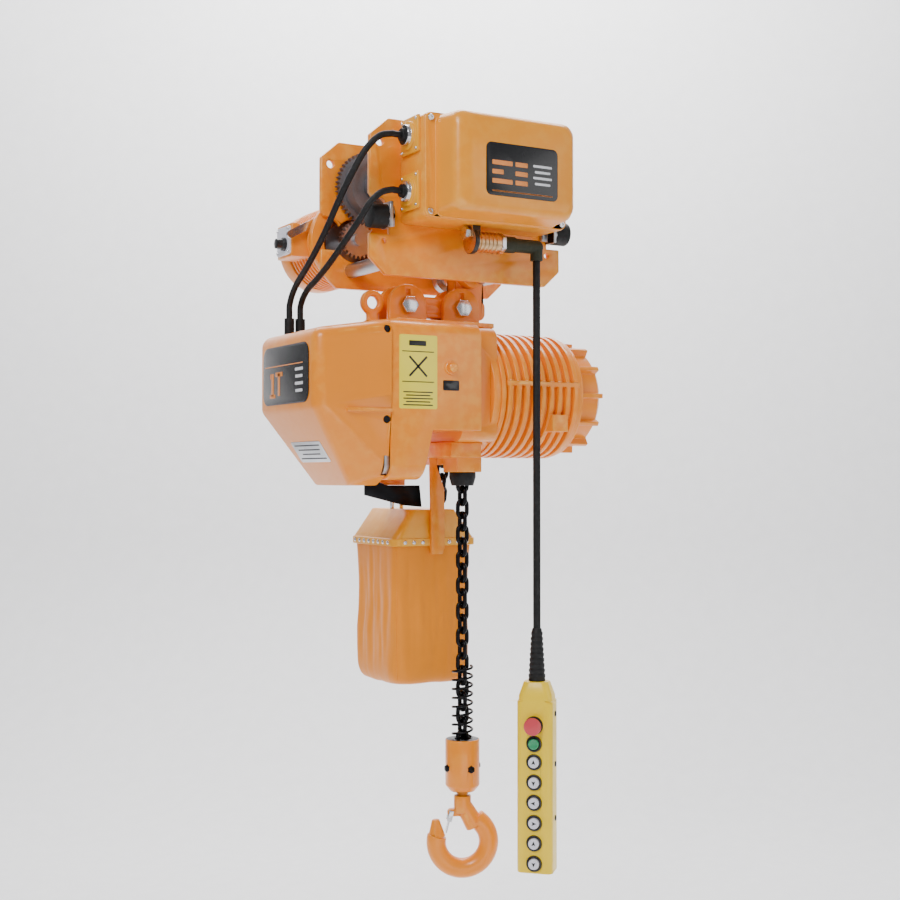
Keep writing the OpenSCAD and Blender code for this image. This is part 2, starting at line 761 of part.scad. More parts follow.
// Coil spring round the chain above the hook block.
module buffer_spring() {
    turns = 8;
    rise = (spring_top - spring_bot - 4) / turns;
    route = [for (k = [0:turns * 12])
        [chain_x + 16 * cos(k * 30), hook_y + 16 * sin(k * 30), spring_bot + 2 + rise * k / 12]];
    color([0.1, 0.1, 0.1]) cord(route, 4, 1);
}

// Two-part block that holds the chain's last link and the hook's neck.
module hook_block() {
    color([1, 0.62, 0.24]) difference() {
        union() {
            bar_z(chain_x, hook_y, block_bot + 10, spring_bot, block_r);
            translate([chain_x, hook_y, block_bot]) cylinder(h = 10, r1 = block_r - 8, r2 = block_r);
        }
        bar_z(chain_x, hook_y, axis_z - 28 * pitch - 19, spring_bot + 1, 13);
        bar_z(chain_x, hook_y, block_bot - 1, block_bot + 30, 9 + gap);
        bar_z(chain_x, hook_y, block_bot + 16, block_bot + 30, 17);
        bar_x(chain_x - 20, chain_x + 20, hook_y, pin_z, 4.6);
    }
    color([0.1, 0.1, 0.1]) for (a = [0:90:270]) translate([chain_x, hook_y, -906]) rotate(a)
        rotate([0, 90, 0]) translate([0, 0, block_r - 3]) cylinder(h = 7, r = 6, $fn = 6);
    color([0.6, 0.6, 0.62]) bar_x(chain_x - 20, chain_x + 20, hook_y, pin_z, 4.6);
}

// The hook's own frame, turned on its swivel.
module in_hook() {
    translate([chain_x, hook_y, 0]) rotate(hook_turn) children();
}

// Shank, nut and forged hook, open to the left.
module hook() {
    color([1, 0.62, 0.24]) in_hook() difference() {
        hook_body();
        bar_y(latch_x, -10, 10, latch_z, 2.5 + gap);
    }
}

// The hook's solid form, with the lug for its latch.
module hook_body() {
    bar_y(latch_x, -6, 6, latch_z, 6);
    span([latch_x, -6, latch_z - 6], [0, 6, latch_z + 6]);
    bar_z(0, 0, -976, block_bot + 26, 9);
    bar_z(0, 0, block_bot + 17, block_bot + 29, 16.5);
    bar_z(0, 0, -980, -952, 14);
    translate([0, 0, hook_z]) {
        rotate([90, 0, 0]) rotate([0, 0, 166])
            rotate_extrude(angle = 252) translate([hook_r, 0]) circle(hook_t);
        translate([hook_r * cos(168), 0, hook_r * sin(168)]) rotate([0, -4, 0])
            cylinder(h = 28, r1 = hook_t - 1.5, r2 = hook_t - 10);
        translate([21, 0, 26]) rotate([0, -30, 0]) cylinder(h = 44, r1 = hook_t, r2 = 13);
    }
}

// Sprung latch that closes the hook's throat, with its pin.
module hook_latch() {
    color([0.75, 0.76, 0.78]) in_hook() translate([latch_x, 0, latch_z]) {
        bar_y(0, -8.5, 8.5, 0, 2.5);
        rotate([0, latch_a, 0]) {
            for (s = [-1, 1]) span([-4, s * 7.4 - 1.1, -14], [4, s * 7.4 + 1.1, 4]);
            span([-1, -8.5, -latch_l], [1, 8.5, -8]);
        }
    }
}

// ---------- Chain bag ----------

// Bracket, shackle, side plate and front strap that hold the hood.
module bag_hanger() {
    color([0.98, 0.6, 0.22]) {
        span([-112, 98, house_bot - 10], [-12, 114, house_bot]);
        translate([0, 70, 0]) rotate([90, 0, 0]) linear_extrude(3) polygon([
            [-104, house_bot], [-92, house_bot], [-60, -446], [0, -446], [4, -483], [-30, -480], [-104, -462]
        ]);
        translate([0, bag_front, 0]) rotate([90, 0, 0]) linear_extrude(6) polygon([
            [-10, -400], [2, -400], [3, -414], [17, -452], [18, -548], [14, -560], [-6, -560], [-8, -548],
            [-8, -470]
        ]);
        translate([-24, 106, -459]) rotate([90, 0, 0]) rotate_extrude(angle = 180) translate([9, 0])
            circle(3.5, $fn = 32);
        for (x = [-33, -15]) bar_z(x, 106, hood_top, -459, 3.5);
    }
}

// Upright-fronted hood of stiff sheet that closes the bag's top, open where the chain drops in.
module bag_hood() {
    color([1, 0.7, 0.25]) difference() {
        hood_form(0);
        hood_form(4);
        span([10, 29, hood_top - 9], [40, 60, hood_top + 1]);
    }
}

// The hood's form, drawn in by d.
module hood_form(d) {
    hull() {
        translate([bag_x, bag_y, bag_top - d]) linear_extrude(10)
            rounded(bag_w - 2 * d, bag_d - 2 * d, 14, $fn = 32);
        translate([4, 101, hood_top - 1 - d]) linear_extrude(1) rounded(84 - 2 * d, 154 - 2 * d, 10, $fn = 32);
    }
}

module chain_bag() {
    color([0.96, 0.58, 0.26]) difference() {
        translate([bag_x, bag_y, bag_bot]) linear_extrude(bag_top - bag_bot) rounded(bag_w - 2, bag_d - 2, 14);
        translate([bag_x, bag_y, bag_bot + 4]) linear_extrude(300) rounded(bag_w - 8, bag_d - 8, 11);
    }
}

// ---------- Cables ----------

module power_cables() {
    color([0.06, 0.06, 0.06]) {
        cord(upper_route, cable_d, 4);
        cord(lower_route, cable_d, 4);
    }
}

// Glands on the end cover's top that take the power cables.
module cable_glands() {
    color([0.1, 0.1, 0.1]) for (x = [-240, -221]) bar_z(x, 66, -212, -176, 8);
}

module pendant_cord() {
    color([0.05, 0.05, 0.05]) cord(cord_route, cord_d, 7);
}

// ---------- Pendant ----------

// The pendant's own frame: buttons on its -Y face.
module in_pendant() {
    translate([pend_x, pend_y, 0]) rotate([0, 0, pend_turn]) children();
}

function btn_z(i) = pend_top - 126 - btn_pitch * i;

module pendant_case() {
    z0 = pend_top - pend_h;
    color([0.98, 0.93, 0.15]) in_pendant() difference() {
        union() {
            translate([0, 0, z0]) linear_extrude(pend_h - 30) rounded(pend_w, pend_d, 9);
            hull() {
                translate([0, 0, pend_top - 62]) linear_extrude(1) rounded(pend_w, pend_d, 9, $fn = 32);
                translate([0, 0, pend_top - 30]) linear_extrude(8) rounded(pend_w - 4, pend_d, 12, $fn = 32);
                translate([0, 0, pend_top - 6]) linear_extrude(6) rounded(40, 34, 12, $fn = 32);
            }
        }
        translate([0, 0, z0 + 4]) linear_extrude(pend_h - 50) rounded(pend_w - 7, pend_d - 7, 6);
        for (i = [0:5]) bar_y(0, -40, 0, btn_z(i), 9.2);
        bar_y(0, -40, 0, pend_top - 97, 9.2);
        bar_y(0, -40, 0, pend_top - 68, 9.2);
    }
}

module pendant_boot() {
    color([0.06, 0.06, 0.06]) in_pendant() {
        translate([0, 0, pend_top]) cylinder(h = 84, r1 = 13, r2 = 8);
    }
}

// A push button at height z: cap of radius r standing h proud, with its stem.
module push(z, r, h) {
    in_pendant() {
        bar_y(0, -pend_d / 2 - h, -pend_d / 2 - h + 5, z, r);
        bar_y(0, -pend_d / 2 - h + 4, -10, z, 9 + 0.15);
    }
}

module stop_button() {
    color([0.9, 0.45, 0.5]) push(pend_top - 68, 14, 16);
}

module start_button() {
    color([0.1, 0.6, 0.3]) push(pend_top - 97, 9.1, 6);
}

module button_up() {
    color([0.9, 0.9, 0.95]) push(btn_z(0), 9.1, 6);
}

module button_down() {
    color([0.9, 0.9, 0.95]) push(btn_z(1), 9.1, 6);
}

module button_left() {
    color([0.9, 0.9, 0.95]) push(btn_z(2), 9.1, 6);
}

module button_right() {
    color([0.9, 0.9, 0.95]) push(btn_z(3), 9.1, 6);
}

module button_forward() {
    color([0.9, 0.9, 0.95]) push(btn_z(4), 9.1, 6);
}

module button_back() {
    color([0.9, 0.9, 0.95]) push(btn_z(5), 9.1, 6);
}

side_plate_near();
side_plate_far();
tie_bolts();
axle_pins();
load_shaft();
bumpers();
control_box_base();
control_box_cover();
control_box_screws();
contactors();
connector_plates();
pendant_connector();
trolley_motor_case();
trolley_motor_stator();
trolley_rotor();
idler_gear();
wheel_near_left();
wheel_near_right();
wheel_far_left();
wheel_far_right();
suspension_hanger();
suspension_lugs();
lug_bolts();
lifting_eye();
gearbox_housing();
gearbox_plate();
end_cover();
cover_screws();
motor_frame();
motor_end_bell();
motor_stator();
brake_coil();
motor_rotor();
intermediate_gear();
load_sheave();
bearings();
chain_guide();
chain_funnel();
bag_hanger();
bag_hood();
chain_bag();
slack_chain();
power_cables();
cable_glands();
load_chain();
buffer_spring();
hook_block();
hook();
hook_latch();
pendant_case();
pendant_boot();
pendant_cord();
stop_button();
start_button();
button_up();
button_down();
button_left();
button_right();
button_forward();
button_back();
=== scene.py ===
"""Looks of an electric chain hoist on a beam trolley: finish, labels, chain bag, cords and pendant."""
import json
import math

import bmesh
import bpy
from mathutils import Matrix, Vector, noise
from mathutils.bvhtree import BVHTree


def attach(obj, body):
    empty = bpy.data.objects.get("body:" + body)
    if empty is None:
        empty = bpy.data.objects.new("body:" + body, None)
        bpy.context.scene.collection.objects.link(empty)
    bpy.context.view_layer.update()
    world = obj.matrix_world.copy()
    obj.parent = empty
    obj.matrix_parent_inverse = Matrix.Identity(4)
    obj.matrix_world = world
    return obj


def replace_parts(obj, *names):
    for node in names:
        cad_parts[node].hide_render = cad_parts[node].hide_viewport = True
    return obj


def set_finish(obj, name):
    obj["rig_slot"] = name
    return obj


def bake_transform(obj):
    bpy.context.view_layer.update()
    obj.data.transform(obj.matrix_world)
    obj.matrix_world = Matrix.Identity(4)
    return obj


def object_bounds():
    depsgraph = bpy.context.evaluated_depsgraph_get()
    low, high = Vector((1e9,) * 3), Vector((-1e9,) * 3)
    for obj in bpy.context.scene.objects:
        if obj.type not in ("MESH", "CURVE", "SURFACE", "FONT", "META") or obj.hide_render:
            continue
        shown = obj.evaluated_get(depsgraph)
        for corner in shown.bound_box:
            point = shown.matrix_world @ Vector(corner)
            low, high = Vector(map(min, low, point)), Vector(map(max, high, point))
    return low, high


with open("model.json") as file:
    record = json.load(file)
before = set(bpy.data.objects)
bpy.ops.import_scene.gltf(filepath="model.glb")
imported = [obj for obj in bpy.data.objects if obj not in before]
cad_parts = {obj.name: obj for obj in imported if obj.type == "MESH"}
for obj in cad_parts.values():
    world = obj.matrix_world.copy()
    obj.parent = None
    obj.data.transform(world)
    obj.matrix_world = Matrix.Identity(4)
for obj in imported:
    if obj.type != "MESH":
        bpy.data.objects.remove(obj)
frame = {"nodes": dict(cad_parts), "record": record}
cad_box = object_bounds()
MM = 0.001
NODE_BODY = {n: b for b, ns in frame["record"]["behaviour"]["bodies"].items() for n in ns}

# ---------- Camera ----------

TARGET = Vector((0.021, 0.0, -0.387))
CAMERA_AZIMUTH = math.radians(-29.5)
CAMERA_ELEVATION = math.radians(-1.0)
CAMERA_DISTANCE = 2.33
CAMERA_LENS = 56.0


def make_camera():
    """A camera low and to the left of the hoist, looking at its middle."""
    back = Vector((math.sin(CAMERA_AZIMUTH) * math.cos(CAMERA_ELEVATION),
                   -math.cos(CAMERA_AZIMUTH) * math.cos(CAMERA_ELEVATION),
                   math.sin(CAMERA_ELEVATION)))
    data = bpy.data.cameras.new("camera")
    data.lens = CAMERA_LENS
    data.sensor_width = 36.0
    cam = bpy.data.objects.new("camera", data)
    bpy.context.scene.collection.objects.link(cam)
    cam.location = TARGET + CAMERA_DISTANCE * back
    cam.rotation_euler = (-back).to_track_quat("-Z", "Y").to_euler()
    bpy.context.scene.camera = cam


# ---------- Node helpers for materials ----------

class Shader:
    """A principled material, with short ways to add procedural detail in metres of object space."""

    def __init__(self, name):
        self.material = bpy.data.materials.new(name)
        self.material.use_nodes = True
        self.nodes = self.material.node_tree.nodes
        self.links = self.material.node_tree.links
        self.main = self.nodes["Principled BSDF"]
        self.place = self.nodes.new("ShaderNodeTexCoord").outputs["Object"]

    def set(self, **values):
        """Plain values for the principled shader's inputs, spaces written as underscores."""
        for key, value in values.items():
            self.main.inputs[key.replace("_", " ")].default_value = value
        return self

    def join(self, out, socket):
        self.links.new(out, socket)

    def noise(self, scale, detail=3.0, rough=0.5, stretch=None):
        """Noise with so many features to the metre, stretched along an axis if asked."""
        n = self.nodes.new("ShaderNodeTexNoise")
        n.inputs["Scale"].default_value = scale
        n.inputs["Detail"].default_value = detail
        n.inputs["Roughness"].default_value = rough
        place = self.place
        if stretch:
            m = self.nodes.new("ShaderNodeMapping")
            m.inputs["Scale"].default_value = stretch
            self.join(place, m.inputs["Vector"])
            place = m.outputs["Vector"]
        self.join(place, n.inputs["Vector"])
        return n.outputs["Fac"]

    def wave(self, scale, axis):
        """Regular bands across an axis."""
        w = self.nodes.new("ShaderNodeTexWave")
        w.bands_direction = axis
        w.inputs["Scale"].default_value = scale
        self.join(self.place, w.inputs["Vector"])
        return w.outputs["Fac"]

    def ramp(self, fac, low, high, a=(0, 0, 0, 1), b=(1, 1, 1, 1)):
        r = self.nodes.new("ShaderNodeValToRGB")
        r.color_ramp.elements[0].position = low
        r.color_ramp.elements[1].position = high
        r.color_ramp.elements[0].color = a
        r.color_ramp.elements[1].color = b
        self.join(fac, r.inputs["Fac"])
        return r.outputs["Color"]

    def mix(self, fac, a, b):
        """Colour a where fac is 0 and b where it is 1; each may be a colour or a socket."""
        m = self.nodes.new("ShaderNodeMix")
        m.data_type = "RGBA"
        self.join(fac, m.inputs["Factor"])
        for value, socket in ((a, m.inputs[6]), (b, m.inputs[7])):
            if hasattr(value, "is_output"):
                self.join(value, socket)
            else:
                socket.default_value = (*value, 1.0)
        return m.outputs[2]

    def between(self, fac, low, high):
        """A factor from 0 to 1, spread over another range."""
        m = self.nodes.new("ShaderNodeMapRange")
        m.inputs["To Min"].default_value = low
        m.inputs["To Max"].default_value = high
        self.join(fac, m.inputs["Value"])
        return m.outputs["Result"]

    def multiply(self, a, b):
        m = self.nodes.new("ShaderNodeMath")
        m.operation = "MULTIPLY"
        self.join(a, m.inputs[0])
        self.join(b, m.inputs[1])
        return m.outputs["Value"]

    def worn_edges(self):
        """1 along sharp outer edges, broken up by noise."""
        g = self.nodes.new("ShaderNodeNewGeometry")
        edge = self.ramp(g.outputs["Pointiness"], 0.52, 0.6)
        return self.multiply(edge, self.ramp(self.noise(60, 5), 0.42, 0.62))

    def colour(self, out):
        self.join(out, self.main.inputs["Base Color"])
        return self

    def rough(self, fac, low, high):
        self.join(self.between(fac, low, high), self.main.inputs["Roughness"])
        return self

    def bump(self, height, strength, distance):
        """Surface relief from a height, its depth in metres."""
        b = self.nodes.new("ShaderNodeBump")
        b.inputs["Strength"].default_value = strength
        b.inputs["Distance"].default_value = distance
        self.join(height, b.inputs["Height"])
        self.join(b.outputs["Normal"], self.main.inputs["Normal"])
        return self


def paint(name, base, worn, peel=0.06):
    """Gloss enamel over a casting: faint orange peel, cloudy tone, edges rubbed lighter."""
    s = Shader(name).set(Coat_Weight=0.22, Coat_Roughness=0.15, Specular_IOR_Level=0.5)
    dark = tuple(c * 0.86 for c in base)
    tone = s.mix(s.noise(7, 4, 0.6), dark, base)
    s.colour(s.mix(s.worn_edges(), tone, worn))
    s.rough(s.noise(90, 4), 0.24, 0.42)
    return s.bump(s.noise(900, 2), peel, 0.0004).material


def metal(name, base, rough, brushed=None):
    """Bare or plated metal with fine scratches and darker patches."""
    s = Shader(name).set(Metallic=1.0)
    s.colour(s.mix(s.noise(40, 5), tuple(c * 0.7 for c in base), base))
    s.rough(s.noise(220, 4, 0.6, brushed), rough * 0.75, min(1.0, rough * 1.35))
    return s.bump(s.noise(1200, 3, 0.6, brushed), 0.12, 0.0003).material


def plastic(name, base, rough, coat=0.0):
    """Moulded plastic with a fine grain."""
    s = Shader(name).set(Coat_Weight=coat, Coat_Roughness=0.15)
    s.colour(s.mix(s.noise(25, 3), tuple(c * 0.92 for c in base), base))
    s.rough(s.noise(150, 3), rough * 0.85, min(1.0, rough * 1.2))
    return s.bump(s.noise(1800, 2), 0.08, 0.0003).material


def rubber(name, base):
    """Dull rubber with dust in its grain."""
    s = Shader(name).set(Specular_IOR_Level=0.35)
    s.colour(s.mix(s.ramp(s.noise(120, 5), 0.5, 0.8), base, tuple(c + 0.012 for c in base)))
    s.rough(s.noise(200, 3), 0.45, 0.7)
    return s.bump(s.noise(1500, 3), 0.15, 0.0004).material


def cloth(name, base):
    """Coated woven cloth: crossed threads, soft sheen and rubbed folds."""
    s = Shader(name).set(Sheen_Weight=0.25, Sheen_Roughness=0.4, Specular_IOR_Level=0.35)
    s.colour(s.mix(s.noise(12, 5, 0.6), tuple(c * 0.78 for c in base), base))
    s.rough(s.noise(60, 4), 0.42, 0.62)
    threads = s.multiply(s.wave(190, "Z"), s.wave(190, "DIAGONAL"))
    return s.bump(threads, 0.25, 0.0005).material


ORANGE = (0.96, 0.28, 0.0)
SLOT_OF = {
    "box_paint": "orange_paint", "hood_paint": "orange_paint", "bright_steel": "steel",
    "amber_plastic": "yellow_plastic", "label_black": "black_plastic", "label_yellow": "yellow_plastic",
    "label_silver": "steel", "ink_orange": "orange_paint", "ink_white": "white_plastic",
    "ink_black": "black_plastic", "olive_rubber": "rubber"
}
MATERIALS = {
    "orange_paint": paint("orange_paint", ORANGE, (0.98, 0.45, 0.06)),
    "box_paint": paint("box_paint", (0.97, 0.34, 0.004), (0.98, 0.5, 0.08)),
    "hood_paint": paint("hood_paint", (0.97, 0.42, 0.0), (0.98, 0.58, 0.08)),
    "steel": metal("steel", (0.58, 0.58, 0.6), 0.34),
    "bright_steel": metal("bright_steel", (0.8, 0.8, 0.82), 0.2),
    "cast_iron": metal("cast_iron", (0.28, 0.28, 0.3), 0.55),
    "black_steel": metal("black_steel", (0.022, 0.022, 0.024), 0.32),
    "brass": metal("brass", (0.78, 0.5, 0.26), 0.28),
    "copper_winding": metal("copper_winding", (0.5, 0.22, 0.1), 0.45, (1, 30, 30)),
    "rubber": rubber("rubber", (0.004, 0.004, 0.0045)),
    "black_plastic": plastic("black_plastic", (0.006, 0.006, 0.007), 0.4, 0.2),
    "yellow_plastic": plastic("yellow_plastic", (0.97, 0.66, 0.0), 0.36, 0.15),
    "amber_plastic": plastic("amber_plastic", (0.93, 0.40, 0.005), 0.4, 0.15),
    "red_plastic": plastic("red_plastic", (0.62, 0.05, 0.07), 0.35, 0.25),
    "green_plastic": plastic("green_plastic", (0.02, 0.3, 0.12), 0.35, 0.3),
    "white_plastic": plastic("white_plastic", (0.78, 0.78, 0.86), 0.35, 0.3),
    "bag_fabric": cloth("bag_fabric", (0.95, 0.29, 0.0)),
    "label_black": plastic("label_black", (0.004, 0.004, 0.005), 0.25, 0.35),
    "label_yellow": plastic("label_yellow", (0.93, 0.78, 0.03), 0.35, 0.3),
    "label_silver": metal("label_silver", (0.72, 0.73, 0.75), 0.3, (40, 1, 1)),
    "ink_orange": plastic("ink_orange", (0.85, 0.28, 0.06), 0.4),
    "ink_white": plastic("ink_white", (0.75, 0.75, 0.78), 0.4),
    "ink_black": plastic("ink_black", (0.012, 0.012, 0.012), 0.4),
    "olive_rubber": rubber("olive_rubber", (0.022, 0.026, 0.012)),
    "stage_paper": plastic("stage_paper", (0.93, 0.93, 0.94), 0.9),
}

# ---------- Mesh helpers ----------


def mm(place):
    """A place given in millimetres, in metres."""
    return Vector(place) * MM


def in_metres(pairs):
    """Pairs of millimetres, such as a profile or an outline, in metres."""
    return [(a * MM, b * MM) for a, b in pairs]


def new_object(name, mesh, material, body=None):
    """An object for a mesh, with its material, riding on a body."""
    obj = bpy.data.objects.new(name, mesh)
    bpy.context.scene.collection.objects.link(obj)
    obj.data.materials.clear()
    obj.data.materials.append(MATERIALS[material])
    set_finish(obj, SLOT_OF.get(material, material))
    if body:
        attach(obj, body)
    return obj


def smooth(obj, angle=35.0):
    """Smooth shading, kept sharp where faces meet at more than the angle."""
    obj.data.shade_smooth()
    obj.data.set_sharp_from_angle(angle=math.radians(angle))


def apply_modifiers(obj):
    """The object's mesh as its modifiers leave it."""
    depsgraph = bpy.context.evaluated_depsgraph_get()
    mesh = bpy.data.meshes.new_from_object(obj.evaluated_get(depsgraph))
    obj.modifiers.clear()
    obj.data = mesh


def mesh_of(name, points, faces):
    """A mesh of points and faces."""
    mesh = bpy.data.meshes.new(name)
    mesh.from_pydata([tuple(p) for p in points], [], faces)
    mesh.validate()
    return mesh


def refine(node, material, width=0.9 * MM):
    """A copy of a CAD node with its sharp edges rounded off, in place of the node."""
    source = frame["nodes"][node]
    edges = bmesh.new()
    edges.from_mesh(source.data)
    bmesh.ops.remove_doubles(edges, verts=edges.verts, dist=0.00001)
    bmesh.ops.dissolve_limit(edges, angle_limit=math.radians(0.8), verts=edges.verts, edges=edges.edges)
    mesh = bpy.data.meshes.new(node + "_finish")
    edges.to_mesh(mesh)
    edges.free()
    obj = new_object(node + "_finish", mesh, material)
    bevel = obj.modifiers.new("round", "BEVEL")
    bevel.width = width
    bevel.segments = 2
    bevel.limit_method = "ANGLE"
    bevel.angle_limit = math.radians(38)
    bevel.use_clamp_overlap = False
    apply_modifiers(obj)
    smooth(obj, 40)
    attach(obj, NODE_BODY[node])
    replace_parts(obj, node)
    return obj


def loft(name, rings, material, body=None, closed=True, cap=True):
    """A skin over rings of points that all have the same count."""
    n = len(rings[0])
    points = [p for r in rings for p in r]
    faces = []
    for k in range(len(rings) - 1):
        for i in range(n if closed else n - 1):
            j = (i + 1) % n
            faces.append((k * n + i, k * n + j, (k + 1) * n + j, (k + 1) * n + i))
    if cap:
        faces.append(tuple(reversed(range(n))))
        faces.append(tuple(range((len(rings) - 1) * n, len(rings) * n)))
    obj = new_object(name, mesh_of(name, points, faces), material, body)
    fix_normals(obj)
    smooth(obj, 50)
    return obj


def fix_normals(obj):
    """Face directions turned outwards."""
    shell = bmesh.new()
    shell.from_mesh(obj.data)
    bmesh.ops.recalc_face_normals(shell, faces=shell.faces)
    shell.to_mesh(obj.data)
    shell.free()


def curve_points(route, steps):
    """Points on a smooth curve through the route's points."""
    route = [Vector(p) for p in route]
    last = len(route) - 1
    out = []
    for k in range(last * steps + 1):
        i = min(k // steps, last - 1)
        t = k / steps - i
        a, b = route[max(0, i - 1)], route[i]
        c, d = route[i + 1], route[min(last, i + 2)]
        out.append(0.5 * (2 * b + t * (c - a) + t * t * (2 * a - 5 * b + 4 * c - d)
                          + t * t * t * (3 * b - a - 3 * c + d)))
    return out


def sweep_rings(points, radius, sides):
    """Rings round each point of a path, carried along without twist."""
    rings = []
    up = None
    for k, p in enumerate(points):
        ahead = points[min(k + 1, len(points) - 1)]
        behind = points[max(k - 1, 0)]
        along = (ahead - behind).normalized()
        if up is None:
            up = along.orthogonal().normalized() if abs(along.y) > 0.9 else Vector((0, 1, 0))
        side = along.cross(up).normalized()
        up = side.cross(along).normalized()
        rings.append([p + radius * (math.cos(a) * side + math.sin(a) * up)
                      for a in (2 * math.pi * i / sides for i in range(sides))])
    return rings


def tube(name, points, radius, material, body=None, sides=16):
    """A round bar swept along points."""
    return loft(name, sweep_rings(points, radius, sides), material, body)


def turned(name, profile, start, axis, material, body=None, sides=48, cap=True):
    """A solid of revolution: profile is (distance along the axis, radius) pairs from its start."""
    axis = Vector(axis).normalized()
    u = axis.orthogonal().normalized()
    v = axis.cross(u)
    start = Vector(start)
    rings = [[start + axis * d + max(r, 0.00002) * (math.cos(a) * u + math.sin(a) * v)
              for a in (2 * math.pi * i / sides for i in range(sides))] for d, r in profile]
    obj = loft(name, rings, material, body, cap=cap)
    smooth(obj, 32)
    return obj


def rounded_outline(width, height, radius, corner=6):
    """Points round a rectangle with rounded corners, centred, counter-clockwise."""
    out = []
    for cx, cy, a0 in ((1, 1, 0), (-1, 1, 90), (-1, -1, 180), (1, -1, 270)):
        for k in range(corner + 1):
            a = math.radians(a0 + 90 * k / corner)
            out.append((cx * (width / 2 - radius) + radius * math.cos(a),
                        cy * (height / 2 - radius) + radius * math.sin(a)))
    return out


def plate(name, centre, across, up, outline, thick, material, body):
    """A thin plate: outline in the directions across and up, its back at centre, edges softened."""
    across, up = Vector(across).normalized(), Vector(up).normalized()
    out = across.cross(up).normalized()
    centre = Vector(centre)
    rings = []
    for lift, shrink in ((0, 1.0), (thick * 0.7, 1.0), (thick, 0.985)):
        rings.append([centre + out * lift + shrink * (x * across + y * up) for x, y in outline])
    return loft(name, rings, material, body)


def gather(name, parts, body):
    """One piece made of several that share a material."""
    whole = bmesh.new()
    for part in parts:
        whole.from_mesh(part.data)
    material = parts[0].data.materials[0]
    mesh = bpy.data.meshes.new(name)
    whole.to_mesh(mesh)
    whole.free()
    finish_slot = parts[0]["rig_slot"]
    for part in parts:
        bpy.data.objects.remove(part)
    obj = bpy.data.objects.new(name, mesh)
    bpy.context.scene.collection.objects.link(obj)
    mesh.materials.append(material)
    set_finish(obj, finish_slot)
    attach(obj, body)
    return obj


def repaint(obj, material, chosen):
    """Another material on the faces whose middle, in millimetres, is chosen."""
    obj.data.materials.append(MATERIALS[material])
    index = len(obj.data.materials) - 1
    for face in obj.data.polygons:
        if chosen(face.center / MM):
            face.material_index = index


def screw(name, place, axis, radius, height, material):
    """A round head with a socket, its seat at a place."""
    profile = [(-1.0, radius), (0.65 * height, radius), (height, 0.82 * radius), (height, 0.5 * radius),
               (0.45 * height, 0.46 * radius), (0.45 * height, 0)]
    return turned(name, in_metres(profile), mm(place), axis, material, sides=24)


def seat(node, place, direction):
    """Where a line from a place, in millimetres, meets a CAD node, and the face's direction there."""
    solid = frame["nodes"][node]
    points = [solid.matrix_world @ v.co for v in solid.data.vertices]
    tree = BVHTree.FromPolygons(points, [tuple(f.vertices) for f in solid.data.polygons])
    where, normal, _, _ = tree.ray_cast(mm(place), Vector(direction))
    if where is None:
        raise ValueError(f"nothing of {node} lies on that line")
    return where, normal


def panel(name, place, facing, size, radius, thick, material, body):
    """A rounded plate lying on a face, in millimetres; across is to the right of someone facing it."""
    facing = Vector(facing).normalized()
    across = Vector((0, 0, 1)).cross(facing).normalized()
    up = facing.cross(across)
    outline = in_metres(rounded_outline(size[0], size[1], radius))
    return plate(name, mm(place), across, up, outline, thick * MM, material, body)


make_camera()

# ---------- Cords (routes as in the part's source, in millimetres) ----------

PENDANT_ROUTE = [
    (103, -138, -84), (103, -138, -280), (103, -138, -477), (103, -138, -674)
]
UPPER_ROUTE = [
    (-142, -134, 92), (-150, -134, 92), (-158, -134, 92), (-178, -133, 86), (-198, -127, 64),
    (-214, -112, 28), (-226, -92, -10), (-234, -62, -52), (-239, -30, -84), (-240, 4, -106),
    (-240, 34, -122), (-240, 54, -138), (-240, 64, -152), (-240, 66, -160), (-240, 66, -168),
    (-240, 66, -176)
]
LOWER_ROUTE = [
    (-142, -134, 6), (-150, -134, 6), (-158, -134, 6), (-175, -132, 0), (-190, -126, -16),
    (-202, -112, -42), (-211, -90, -66), (-217, -62, -88), (-220, -30, -106), (-221, 4, -120),
    (-221, 34, -130), (-221, 54, -142), (-221, 64, -154), (-221, 66, -160), (-221, 66, -168),
    (-221, 66, -176)
]


def make_cord(name, node, route, diameter):
    """A round cord along a smooth curve through a route, in place of a CAD node."""
    points = [p * MM for p in curve_points(route, 10)]
    cord = tube(name, points, diameter / 2, "rubber", sides=20)
    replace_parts(cord, node)
    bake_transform(cord)


make_cord("pendant_cable", "pendant_cord", PENDANT_ROUTE, 0.012)
make_cord("power_cable_upper", "power_cables", UPPER_ROUTE, 0.010)
make_cord("power_cable_lower", "power_cables", LOWER_ROUTE, 0.010)

# ---------- Nodes whose CAD shape stays ----------

PLAIN_NODES = {
    "steel": ["tie_bolts", "axle_pins", "load_shaft", "bearings", "motor_rotor", "trolley_rotor",
              "load_sheave", "intermediate_gear", "idler_gear", "gearbox_plate"],
    "cast_iron": ["wheel_near_left", "wheel_near_right", "wheel_far_left", "wheel_far_right"],
    "copper_winding": ["motor_stator", "trolley_motor_stator", "brake_coil"],
    "black_plastic": ["contactors"],
    "black_steel": ["cover_screws"], "rubber": ["cable_glands"],
}
for slot_name, names in PLAIN_NODES.items():
    for node_name in names:
        for slot in frame["nodes"][node_name].material_slots:
            slot.material = MATERIALS[slot_name]

